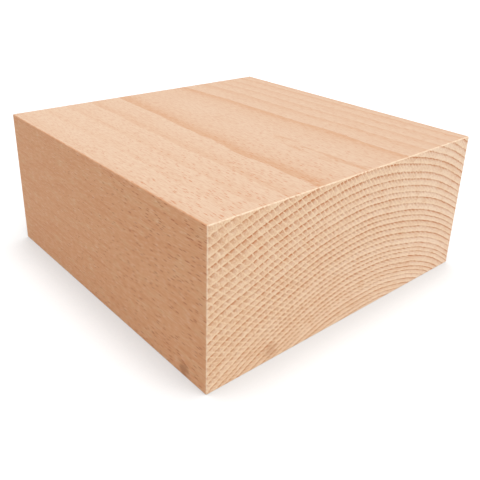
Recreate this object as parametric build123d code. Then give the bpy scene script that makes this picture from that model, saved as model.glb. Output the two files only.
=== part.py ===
from build123d import *

import os

# A wood turning blank: one solid block of beech, sawn square and planed on all
# six sides, ready to be fixed to a lathe and turned into a bowl or a platter.
# The origin is the centre of the bottom face and +Z is up, through the
# thickness. The grain runs along Y, so the two faces square to Y are end grain.
# All sizes are in millimetres.

LENGTH_ALONG_GRAIN = 150.0
WIDTH_ACROSS_GRAIN = 150.0
THICKNESS = 65.0

# Every corner of the planed block is broken by one light pass of abrasive.
EASED_EDGE_RADIUS = 0.5
# However thin a blank is cut, the two rounds on one side leave a flat between.
LARGEST_EDGE_SHARE = 0.2


def eased_radius():
    """Radius of the eased edges, which a very thin blank would limit."""
    thinnest = min(LENGTH_ALONG_GRAIN, WIDTH_ACROSS_GRAIN, THICKNESS)
    return min(EASED_EDGE_RADIUS, LARGEST_EDGE_SHARE * thinnest)


def turning_blank():
    """The block, standing on its bottom face, with its twelve edges eased."""
    block = Box(
        WIDTH_ACROSS_GRAIN,
        LENGTH_ALONG_GRAIN,
        THICKNESS,
        align=(Align.CENTER, Align.CENTER, Align.MIN),
    )
    eased = fillet(block.edges(), eased_radius())
    eased.label = "turning_blank"
    return eased


os.makedirs("parts", exist_ok=True)
export_step(turning_blank(), "parts/turning_blank.step")
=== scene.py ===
from math import cos, exp, floor, hypot, pi, radians, sin, sqrt, tanh

import bmesh
import bpy
from mathutils import Matrix, Vector, noise


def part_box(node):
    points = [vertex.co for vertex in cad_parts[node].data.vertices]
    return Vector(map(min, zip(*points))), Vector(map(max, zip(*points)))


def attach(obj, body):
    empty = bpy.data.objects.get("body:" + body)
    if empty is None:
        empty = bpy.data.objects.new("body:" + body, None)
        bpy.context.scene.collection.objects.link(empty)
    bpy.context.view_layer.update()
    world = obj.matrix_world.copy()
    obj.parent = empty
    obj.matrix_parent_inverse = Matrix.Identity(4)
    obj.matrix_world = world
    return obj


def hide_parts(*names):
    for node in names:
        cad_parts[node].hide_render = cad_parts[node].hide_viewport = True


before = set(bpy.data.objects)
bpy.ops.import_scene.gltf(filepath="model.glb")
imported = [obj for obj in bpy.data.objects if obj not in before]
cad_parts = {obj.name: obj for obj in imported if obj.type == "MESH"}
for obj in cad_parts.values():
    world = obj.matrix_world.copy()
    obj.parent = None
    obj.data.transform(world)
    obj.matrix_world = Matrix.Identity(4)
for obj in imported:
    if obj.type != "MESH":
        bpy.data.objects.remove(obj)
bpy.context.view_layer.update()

# The turning blank: one solid block of beech, planed on its four long-grain
# sides and crosscut to length on a circular saw, with each corner broken by
# one pass of abrasive.
MM = 0.001
low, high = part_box("turning_blank")
size = high - low
eased_radius = 0.5 * MM
grid_step = 2.03 * MM
end_grid_cuts = 3

bpy.ops.object.select_all(action="DESELECT")
bpy.ops.mesh.primitive_cube_add(size=1, location=(low + high) / 2, scale=size)
blank = bpy.context.object
blank.name = "planed_blank"
blank.data.name = "planed_blank"
bpy.ops.object.transform_apply(location=True, rotation=True, scale=True)


def select_where(mesh, test, kind="FACE"):
    """Leave selected only the faces, or edges, that pass the test."""
    bpy.ops.mesh.select_mode(type=kind)
    bpy.ops.mesh.select_all(action="DESELECT")
    shape = bmesh.from_edit_mesh(mesh)
    for item in shape.faces if kind == "FACE" else shape.edges:
        item.select_set(test(item))
    shape.select_flush_mode()
    bmesh.update_edit_mesh(mesh)


def runs_along(axis):
    """A test for edges that run along an axis, 0 to 2."""
    def test(edge):
        span = edge.verts[1].co - edge.verts[0].co
        return abs(span[axis]) > 0.9 * span.length
    return test


def on_a_corner(edge):
    """True for the edges of the grid that lie along the block's twelve edges."""
    middle = (edge.verts[0].co + edge.verts[1].co) / 2
    gaps = [min(abs(middle[i] - low[i]), abs(middle[i] - high[i])) for i in range(3)]
    touches = [gap < 0.001 * MM for gap in gaps]
    return sum(touches) >= 2


# The cube is cut into a grid and rounded, and its end faces are cut finer still,
# for the shallow relief that the saw left there.
bpy.ops.object.mode_set(mode="EDIT")
for axis in range(3):
    select_where(blank.data, runs_along(axis), kind="EDGE")
    bpy.ops.mesh.subdivide(number_cuts=round(size[axis] / grid_step))
select_where(blank.data, on_a_corner, kind="EDGE")
bpy.ops.mesh.bevel(offset=eased_radius, offset_type="OFFSET", segments=3, profile=0.5)
select_where(blank.data, lambda face: abs(face.normal.y) > 0.99)
bpy.ops.mesh.subdivide(number_cuts=end_grid_cuts)
bpy.ops.object.mode_set(mode="OBJECT")

# The growth rings are arcs about a pith that lay well below this board, a little
# lower towards the back. The left limb is flatter than the right one. Each point
# of the block gets its place among the rings, counted outwards.
pith_across = 6 * MM
pith_below_top = 160 * MM
pith_dip = 0.007                      # metres lower for each metre towards the back
limb_skew = 1.2
right_limb_drift = -1.6
lean_height = 1.3 * MM                # how far the left limb's rings are drawn in
lean_start = -30 * MM
lean_spread = 19 * MM
slow_wander = 0.55 * MM
quick_wander = 0.22 * MM
ring_gap_inner = 2.05 * MM
ring_gap_growth = 0.017
first_ring_radius = 95 * MM
year_unevenness = 0.35
years_in_a_spell = 2.3


def wander(x, y, z, size_across, size_along, seed):
    """Smooth noise from -1 to 1, drawn out along the grain."""
    return noise.noise(Vector((x / size_across + seed, y / size_along + 2 * seed, z / size_across)))


def growth_radius(x, y, z):
    """Distance from the pith line, with the bends of a real trunk."""
    depth = high.z - z
    across = (x - pith_across) * (1 + limb_skew * (x - pith_across))
    radius = hypot(across, pith_below_top + pith_dip * (y - low.y) - depth)
    radius += right_limb_drift * max(across, 0) * (depth - size.z / 2)
    radius += lean_height * 0.5 * (1 - tanh((x - lean_start) / lean_spread))
    radius += slow_wander * wander(x, y, z, 26 * MM, 90 * MM, 3.1)
    radius += quick_wander * wander(x, y, z, 13 * MM, 34 * MM, 8.7)
    return radius


def ring_count(radius):
    """Rings counted outwards from the first radius: good years are wide, dry ones thin."""
    past = radius - first_ring_radius
    count = past / (ring_gap_inner * (1 + ring_gap_growth * past / (2 * ring_gap_inner)))
    return count + year_unevenness * noise.noise(Vector((count / years_in_a_spell, 11.5, 0.0)))


# Both ends were cut with a 350 mm blade that just cleared the underside. Each
# tooth left one arc, and the arcs close up as the feed slowed down.
blade_radius = 175 * MM
blade_above_top = 108 * MM
first_tooth_gap = 3.3 * MM
feed_slowdown = 180 * MM
mark_unevenness = 0.12
marks_fade_from = -5 * MM
marks_fade_to = 55 * MM
relief_depth = 0.06 * MM
relief_margin = 0.8 * MM


def tooth_marks(x, z):
    """Tooth marks counted along the cut, closer together as the feed slows down."""
    drop = min(high.z - z + blade_above_top, blade_radius)
    top_offset = sqrt(blade_radius ** 2 - blade_above_top ** 2)
    behind = top_offset - sqrt(blade_radius ** 2 - drop ** 2)
    along_feed = x - low.x - behind
    return feed_slowdown / first_tooth_gap * exp(along_feed / feed_slowdown)


def ramp(value, start, end):
    """0 before start, 1 after end, and a smooth rise between them."""
    t = min(max((value - start) / (end - start), 0.0), 1.0)
    return t * t * (3 - 2 * t)


def end_relief(rings, marks, x):
    """Depth of the torn wood between the hard ring lines, from 0 to 1."""
    in_ring = rings - floor(rings)
    in_mark = marks - floor(marks)
    hollow = ramp(in_ring, 0.08, 0.3) * (1 - ramp(in_ring, 0.86, 1.0)) * (0.35 + 0.65 * in_ring)
    ridge = max(1 - ramp(in_mark, 0.0, 0.3), ramp(in_mark, 0.75, 1.0))
    fade = 1 - ramp(x, marks_fade_from, marks_fade_to)
    return hollow * (1 - ridge * fade) * (0.45 + 0.55 * fade)


mesh = blank.data
ring_values = []
mark_values = []
end_values = []
side_values = []
arris_values = []
facings = [vertex.normal.copy() for vertex in mesh.vertices]
for vertex, facing in zip(mesh.vertices, facings):
    x, y, z = vertex.co
    rings = ring_count(growth_radius(x, y, z))
    marks = tooth_marks(x if y < 0 else -x, z)
    marks += mark_unevenness * wander(x, y, z, 12 * MM, 500 * MM, 5.3)
    ring_values.append(rings)
    mark_values.append(marks)
    end_values.append(min(facing.y ** 2, 1.0))
    side_values.append(min(facing.x ** 2, 1.0))
    arris_values.append(min(4 * (1 - max(part ** 2 for part in facing)), 1.0))
    if abs(facing.y) > 0.999:
        edge_gap = min(x - low.x, high.x - x, z - low.z, high.z - z) - eased_radius
        depth = relief_depth * end_relief(rings, marks, x if y < 0 else -x)
        vertex.co.y -= facing.y / abs(facing.y) * depth * ramp(edge_gap, 0, relief_margin)
for name, values in (("ring_count", ring_values), ("tooth_marks", mark_values),
                     ("end_grain", end_values), ("quarter_sawn", side_values),
                     ("arris", arris_values)):
    layer = mesh.attributes.new(name, "FLOAT", "POINT")
    layer.data.foreach_set("value", values)

bpy.ops.object.select_all(action="DESELECT")
blank.select_set(True)
bpy.context.view_layer.objects.active = blank
bpy.ops.object.shade_smooth_by_angle(angle=radians(35))
bpy.ops.object.modifier_add(type="WEIGHTED_NORMAL")
blank.modifiers[-1].keep_sharp = True
bpy.ops.object.modifier_apply(modifier=blank.modifiers[-1].name)

# The six faces laid out flat on one sheet, at one scale, for whoever paints or
# bakes the finish: both broad faces, then both ends, then both sides.
sheet_gap = 4 * MM
wide_side = max(size.x, size.y)
sheet_width = 2 * wide_side + 3 * sheet_gap
row_start = (2 * sheet_gap + size.y + size.z, sheet_gap + size.y, 0)
layout = mesh.uv_layers.new(name="OFBake")
spots = [0.0] * (2 * len(mesh.loops))
for face in mesh.polygons:
    axis = max(range(3), key=lambda i: abs(face.normal[i]))
    column = 0 if face.normal[axis] < 0 else 1
    turned = column == (1 if axis == 1 else 0)
    across, upward = ((1, 2), (0, 2), (0, 1))[axis]
    for corner in face.loop_indices:
        point = mesh.vertices[mesh.loops[corner].vertex_index].co
        step = high[across] - point[across] if turned else point[across] - low[across]
        rise = point[upward] - low[upward]
        column_start = sheet_gap + column * (wide_side + sheet_gap)
        spots[2 * corner] = (column_start + step) / sheet_width
        spots[2 * corner + 1] = (sheet_gap + row_start[axis] + rise) / sheet_width
layout.data.foreach_set("uv", spots)


# The wood's finish: pale, faintly pink beech, bare and dull. Long grain shows
# soft bands and short dark flecks. End grain shows each ring as a dark line
# with a light one outside it, crossed by the light tooth marks.
wood = bpy.data.materials.new("planed_beech")
wood.use_nodes = True
nodes = wood.node_tree.nodes
links = wood.node_tree.links
nodes.clear()


def node(kind, **settings):
    """A shader node with its settings and inputs; an input may be a link."""
    made = nodes.new(kind)
    for key, value in settings.items():
        if not key.startswith("in_"):
            setattr(made, key, value)
    for key, value in settings.items():
        if key.startswith("in_"):
            socket = made.inputs[int(key[3:])] if key[3:].isdigit() else made.inputs[key[3:]]
            if isinstance(value, bpy.types.NodeSocket):
                links.new(value, socket)
            else:
                socket.default_value = value
    return made


def math(operation, a, b=0.0, c=0.0, clamp=False):
    """One calculation on up to three numbers."""
    made = node("ShaderNodeMath", operation=operation, use_clamp=clamp, in_0=a, in_1=b, in_2=c)
    return made.outputs[0]


def attribute(name):
    """A number kept at each point of the block."""
    return node("ShaderNodeAttribute", attribute_name=name).outputs["Fac"]


def curve(value, *points):
    """A number drawn from a number, on a smooth line through the points (from, to)."""
    made = node("ShaderNodeValToRGB", in_0=value)
    made.color_ramp.interpolation = "EASE"
    stops = made.color_ramp.elements
    while len(stops) < len(points):
        stops.new(0.5)
    for stop, (place, level) in zip(stops, points):
        stop.position = place
        stop.color = (level, level, level, 1)
    return made.outputs[0]


def tone(red, green, blue):
    """A colour as a paint chart gives it, 0 to 255, for a shader socket."""
    linear = [((c / 255 + 0.055) / 1.055) ** 2.4 for c in (red, green, blue)]
    return (*linear, 1.0)


def blend(factor, a, b):
    """A colour on the way from a, at factor 0, to b, at factor 1."""
    return node("ShaderNodeMix", data_type="RGBA", in_0=factor, in_6=a, in_7=b).outputs[2]


place = node("ShaderNodeTexCoord").outputs["Object"]


def stretched(across, along, offset=0.0):
    """Object coordinates counted in cells of the given size, in metres."""
    return node("ShaderNodeMapping", in_Vector=place, in_Location=(offset, offset, offset),
                in_Scale=(1 / across, 1 / along, 1 / across)).outputs[0]


def grain_noise(across, along, detail=2.0, offset=0.0):
    """Smooth noise from 0 to 1, in cells of the given size, in metres."""
    return node("ShaderNodeTexNoise", in_Vector=stretched(across, along, offset), in_Scale=1.0,
                in_Detail=detail, in_Roughness=0.55).outputs["Fac"]


def random_for(count):
    """A random number from 0 to 1 for each whole count, such as a ring's."""
    return node("ShaderNodeTexWhiteNoise", noise_dimensions="1D", in_W=count).outputs["Value"]


where = node("ShaderNodeSeparateXYZ", in_0=place).outputs
x_place = where[0]
y_place = where[1]
end_grain = attribute("end_grain")
quarter_sawn = attribute("quarter_sawn")
arris = attribute("arris")


def between(value, start, end, low_value=0.0, high_value=1.0):
    """A smooth rise, or fall, from one number to another."""
    return node("ShaderNodeMapRange", interpolation_type="SMOOTHSTEP", in_0=value,
                in_1=start, in_2=end, in_3=low_value, in_4=high_value).outputs[0]


def times(*factors):
    """All the factors multiplied together."""
    product = factors[0]
    for factor in factors[1:]:
        product = math("MULTIPLY", product, factor)
    return product


# End grain: where each point lies in its ring and between two tooth marks, with
# the small unevenness of torn fibres.
torn_rings = math("SUBTRACT", grain_noise(1.6 * MM, 1.6 * MM, 3.0), 0.5)
torn_marks = math("SUBTRACT", grain_noise(1.8 * MM, 1.8 * MM, 3.0, 7.0), 0.5)
rings = math("MULTIPLY_ADD", torn_rings, 0.34, attribute("ring_count"))
marks = math("MULTIPLY_ADD", torn_marks, 0.6, attribute("tooth_marks"))
ring_place = math("FRACT", rings)
ring_number = math("FLOOR", rings)
mark_place = math("FRACT", marks)
ring_random = random_for(ring_number)
cell_number = node("ShaderNodeCombineXYZ", in_0=ring_number, in_1=math("FLOOR", marks)).outputs[0]
cell_random = node("ShaderNodeTexWhiteNoise", noise_dimensions="2D",
                   in_Vector=cell_number).outputs["Value"]

# The tooth marks, and the hollows between them with their painted shade, are plainest on the left half.
mark_fade = times(between(x_place, 15 * MM, high.x, 1.0, 0.2),
                  between(x_place, low.x, -30 * MM, 0.75, 1.0))
cell_fade = between(x_place, 0.0, 65 * MM, 1.0, 0.35)
from_left = between(x_place, low.x, 60 * MM)

dark_line = curve(ring_place, (0.0, 0.0), (0.14, 0.0), (0.58, 0.1), (0.76, 0.4),
                  (0.87, 1.0), (0.94, 1.0), (1.0, 0.0))
light_line = curve(ring_place, (0.0, 0.8), (0.06, 1.0), (0.2, 0.0), (0.985, 0.0), (1.0, 0.8))
cell_shade = curve(ring_place, (0.0, 0.0), (0.15, 0.0), (0.5, 0.45), (0.8, 1.0),
                   (0.93, 1.0), (1.0, 0.0))
mark_line = curve(mark_place, (0.0, 1.0), (0.17, 0.0), (0.83, 0.0), (1.0, 1.0))
mark_shade = curve(mark_place, (0.0, 0.0), (0.25, 1.0), (0.6, 0.6), (1.0, 0.0))

blotch = grain_noise(6 * MM, 60 * MM, 2.0, 4.0)
ring_strength = times(math("MULTIPLY_ADD", ring_random, 0.55, 0.6),
                      between(blotch, 0.3, 0.62, 0.6, 1.15))
crossed = times(mark_line, mark_fade)
line_dark = times(dark_line, ring_strength,
                  between(x_place, low.x, -30 * MM, 0.8, 1.2),
                  between(x_place, 0.0, 50 * MM, 1.15, 0.85),
                  math("MULTIPLY_ADD", crossed, -1.0, 1.0),
                  math("MULTIPLY_ADD", times(cell_random, mark_fade), -0.35, 1.0))
# Painted shade in the hollows between ring lines and tooth marks, darkest just inside each ring line.
cells = times(cell_shade, mark_shade, cell_fade, math("MULTIPLY_ADD", cell_random, 0.9, 0.3))
lights = math("MAXIMUM", times(light_line, 0.5), times(crossed, 0.55))
speckle = grain_noise(0.55 * MM, 0.55 * MM, 3.0)
smudge = grain_noise(3.5 * MM, 3.5 * MM, 3.0, 1.0)

end_left_tone = tone(240, 204, 170)
end_right_tone = tone(248, 220, 194)
dark_year_tone = tone(228, 186, 146)
smudge_tone = tone(226, 178, 134)
clean_tone = tone(248, 222, 192)
# The colour of the painted shade in the end grain's hollows.
painted_hollow_shade_tone = tone(198, 148, 114)
late_wood_tone = tone(194, 116, 66)
early_wood_tone = tone(249, 220, 181)
open_pore_tone = tone(206, 150, 106)
cut_fibre_tone = tone(252, 230, 200)
end_color = blend(from_left, end_left_tone, end_right_tone)
end_color = blend(times(ring_random, 0.35), end_color, dark_year_tone)
end_color = blend(times(between(smudge, 0.45, 0.7), 0.35), end_color, smudge_tone)
end_color = blend(times(between(smudge, 0.5, 0.3), 0.3), end_color, clean_tone)
end_color = blend(times(cells, 0.72), end_color, painted_hollow_shade_tone)
end_color = blend(line_dark, end_color, late_wood_tone)
end_color = blend(lights, end_color, early_wood_tone)
end_color = blend(times(between(speckle, 0.5, 0.72), 0.5), end_color, open_pore_tone)
end_color = blend(times(between(speckle, 0.5, 0.3), 0.35), end_color, cut_fibre_tone)

# Long grain: the same rings cut lengthwise are soft bands, each dark one ending
# in a sharp edge. The sides are redder and darker, partly as their own cut and partly
# as painted shade with a warm tint.
fibres = grain_noise(0.5 * MM, 3.5 * MM, 3.0)
streaks = grain_noise(1.3 * MM, 24 * MM, 3.0, 9.0)
mottle = grain_noise(2.6 * MM, 11 * MM, 3.0, 6.0)
wavy = math("SUBTRACT", grain_noise(4 * MM, 22 * MM, 3.0, 3.0), 0.5)
long_rings = math("MULTIPLY_ADD", wavy, 0.24, attribute("ring_count"))
long_random = random_for(math("FLOOR", long_rings))
soft_ring = curve(math("FRACT", long_rings), (0.0, 0.0), (0.05, 0.02), (0.5, 0.25),
                  (0.9, 1.0), (0.97, 0.95), (1.0, 0.0))
top_bands = times(soft_ring, math("MULTIPLY_ADD", long_random, 0.65, 0.35),
                  between(x_place, -65 * MM, -20 * MM, 0.35, 1.0))
side_bands = times(soft_ring, long_random, between(mottle, 0.35, 0.65))

top_left_tone = tone(244, 210, 180)
top_right_tone = tone(239, 204, 174)
top_band_tone = tone(229, 178, 138)
top_streak_tone = tone(222, 156, 112)
# The sides' base tone is partly painted shade: darker and redder than the top's.
side_tone_with_painted_shade = tone(235, 175, 129)
side_band_tone = tone(218, 143, 94)
side_streak_tone = tone(220, 146, 98)
side_pale_tone = tone(236, 198, 152)
fibre_dark_tone = tone(216, 148, 102)
fibre_pale_tone = tone(252, 220, 190)
top_base = blend(from_left, top_left_tone, top_right_tone)
top_color = blend(top_bands, top_base, top_band_tone)
top_color = blend(times(between(streaks, 0.45, 0.72), 0.2), top_color, top_streak_tone)
side_color_with_painted_shade = blend(times(side_bands, 0.5), side_tone_with_painted_shade, side_band_tone)
side_color_with_painted_shade = blend(times(between(streaks, 0.46, 0.68), 0.42), side_color_with_painted_shade, side_streak_tone)
side_color_with_painted_shade = blend(times(between(mottle, 0.5, 0.28), 0.3), side_color_with_painted_shade, side_pale_tone)
long_color = blend(quarter_sawn, top_color, side_color_with_painted_shade)
long_color = blend(times(between(fibres, 0.45, 0.75), 0.42), long_color, fibre_dark_tone)
long_color = blend(times(between(fibres, 0.5, 0.25), 0.4), long_color, fibre_pale_tone)

# Rays show on long grain as short dark flecks, larger towards the front left.
fleck_width = 0.85 * MM
fleck_spacing = 5 * MM
fleck_cells = node("ShaderNodeTexVoronoi", voronoi_dimensions="3D", feature="F1",
                   in_Vector=stretched(fleck_width, fleck_spacing), in_Scale=1.0, in_Randomness=1.0)
fleck_size = times(between(y_place, low.y, 65 * MM, 0.3, 0.12),
                   between(x_place, -60 * MM, 50 * MM, 1.0, 0.6))
fleck_gap = math("DIVIDE", fleck_cells.outputs["Distance"], fleck_size)
fleck = between(math("SUBTRACT", 1.0, fleck_gap, clamp=True), 0.0, 0.45)
fleck_tone = blend(quarter_sawn, tone(216, 122, 66), tone(172, 78, 34))
long_color = blend(times(fleck, 0.62), long_color, fleck_tone)


def stain(x, y, z, radius, ragged_edge):
    """A soft round patch about a point, 1 in its middle."""
    gap = node("ShaderNodeVectorMath", operation="DISTANCE", in_0=place, in_1=(x, y, z)).outputs["Value"]
    ragged = math("SUBTRACT", grain_noise(1.6 * MM, 3 * MM, 2.0, 2.0), 0.5)
    return between(math("MULTIPLY_ADD", ragged, ragged_edge, gap), radius, 0.25 * radius)


# A pin knot shows low on the left side, and a small stain low on the front end.
knot = stain(low.x, low.y + 13 * MM, 3 * MM, 4 * MM, 6 * MM)
end_stain = stain(-45 * MM, low.y, 4.5 * MM, 4.5 * MM, 7 * MM)
knot_tone = tone(158, 98, 62)
end_stain_tone = tone(186, 130, 90)
long_color = blend(times(knot, 0.55), long_color, knot_tone)
end_color = blend(times(end_stain, 0.4), end_color, end_stain_tone)

# The broken corners carry a painted highlight, pale round the end grain, and a redder
# tint along the grain, both uneven. The surface is dull, with fine fibres standing on it.
long_arris_tone = tone(236, 168, 118)
# A painted highlight on the corners round the end grain.
end_arris_highlight_tone = tone(253, 230, 201)
wood_color = blend(end_grain, long_color, end_color)
nibbled = between(grain_noise(1.5 * MM, 1.5 * MM, 2.0, 5.0), 0.35, 0.6, 0.3, 1.0)
arris_tint_and_highlight_color = blend(between(end_grain, 0.02, 0.12), long_arris_tone, end_arris_highlight_tone)
arris_tint_and_highlight_amount = times(arris, nibbled, math("MULTIPLY_ADD", quarter_sawn, -0.7, 0.95))
wood_color = blend(arris_tint_and_highlight_amount, wood_color, arris_tint_and_highlight_color)
long_height = times(fibres, 0.3)
end_height = math("ADD", times(lights, 0.5), times(speckle, 0.6))
height = node("ShaderNodeMix", data_type="FLOAT", in_0=end_grain, in_2=long_height,
              in_3=end_height).outputs[0]
bump = node("ShaderNodeBump", in_Strength=0.35, in_Distance=0.08 * MM, in_Height=height).outputs[0]
rough = math("MULTIPLY_ADD", fibres, 0.12, 0.56)
finish = node("ShaderNodeBsdfPrincipled", in_Roughness=rough, in_Normal=bump)
finish.inputs["Specular IOR Level"].default_value = 0.35
links.new(wood_color, finish.inputs["Base Color"])
node("ShaderNodeOutputMaterial", in_0=finish.outputs[0])

mesh.materials.clear()
mesh.materials.append(wood)
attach(blank, "root")
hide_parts("turning_blank")

# The floor: a wide white sheet that keeps the block's soft shadow, deepened a
# little where the block stands on it.
floor_width = 6
shadow_reach = 26 * MM
floor_tone = (0.6, 0.6, 0.6, 1)
black = (0, 0, 0, 1)
bpy.ops.mesh.primitive_plane_add(size=floor_width, location=(0, 0, 0))
floor_sheet = bpy.context.object
floor_sheet.name = "studio_floor"
paper = bpy.data.materials.new("white_paper")
paper.use_nodes = True
nodes = paper.node_tree.nodes
links = paper.node_tree.links
nodes.clear()


def seen_directly():
    """1 where the camera, a reflection or clear glass sees the surface."""
    path = node("ShaderNodeLightPath").outputs
    through = math("MAXIMUM", path["Is Glossy Ray"], path["Is Transmission Ray"])
    return math("MAXIMUM", path["Is Camera Ray"], through)


crevice = node("ShaderNodeAmbientOcclusion", in_Distance=shadow_reach).outputs["AO"]
contact = between(crevice, 0.45, 1.0, 0.7, 1.0)
lit = node("ShaderNodeBsdfDiffuse", in_0=blend(contact, black, floor_tone)).outputs[0]
glow = node("ShaderNodeEmission", in_0=(1, 1, 1, 1), in_Strength=times(contact, 0.6)).outputs[0]
both = node("ShaderNodeAddShader", in_0=lit, in_1=glow).outputs[0]
plain = node("ShaderNodeBsdfDiffuse", in_0=(0.55, 0.55, 0.55, 1)).outputs[0]
paper_finish = node("ShaderNodeMixShader", in_0=seen_directly(), in_1=plain, in_2=both).outputs[0]
node("ShaderNodeOutputMaterial", in_0=paper_finish)
floor_sheet.data.materials.append(paper)

# The light: an even white room, and one broad lamp, high in front of the block.
room = bpy.data.worlds.new("white_room")
bpy.context.scene.world = room
room.use_nodes = True
nodes = room.node_tree.nodes
links = room.node_tree.links
nodes.clear()
even = node("ShaderNodeBackground", in_0=(1, 1, 1, 1), in_1=0.68).outputs[0]
white = node("ShaderNodeBackground", in_0=(1, 1, 1, 1), in_1=1.0).outputs[0]
room_light = node("ShaderNodeMixShader", in_0=seen_directly(), in_1=even, in_2=white).outputs[0]
node("ShaderNodeOutputWorld", in_0=room_light)

lamp_direction = Vector((0.02, -0.32, 0.30))
bpy.ops.object.light_add(type="SUN", location=lamp_direction)
lamp = bpy.context.object
lamp.name = "broad_lamp"
lamp.data.energy = pi * lamp_direction.length
lamp.data.angle = radians(60)
lamp.rotation_mode = "QUATERNION"
lamp.rotation_quaternion = lamp_direction.to_track_quat("Z", "Y")

# The camera: at the block's front left, a little above it.
eye = Vector((-175.3, -203.2, 145.5)) * MM
azimuth = radians(-41.39)
elevation = radians(23.05)
roll = radians(1.74)
back = Vector((sin(azimuth) * cos(elevation), -cos(azimuth) * cos(elevation), sin(elevation)))
right = Vector((cos(azimuth), sin(azimuth), 0))
up = back.cross(right)
right, up = right * cos(roll) + up * sin(roll), up * cos(roll) - right * sin(roll)
bpy.ops.object.camera_add()
camera = bpy.context.object
camera.matrix_world = Matrix((
    (right.x, up.x, back.x, eye.x),
    (right.y, up.y, back.y, eye.y),
    (right.z, up.z, back.z, eye.z),
    (0, 0, 0, 1)))
camera.data.sensor_width = 36
camera.data.lens = 45.11
camera.data.shift_y = -0.1
camera.data.clip_start = 0.01
bpy.context.scene.camera = camera
bpy.context.scene.view_settings.view_transform = "Standard"
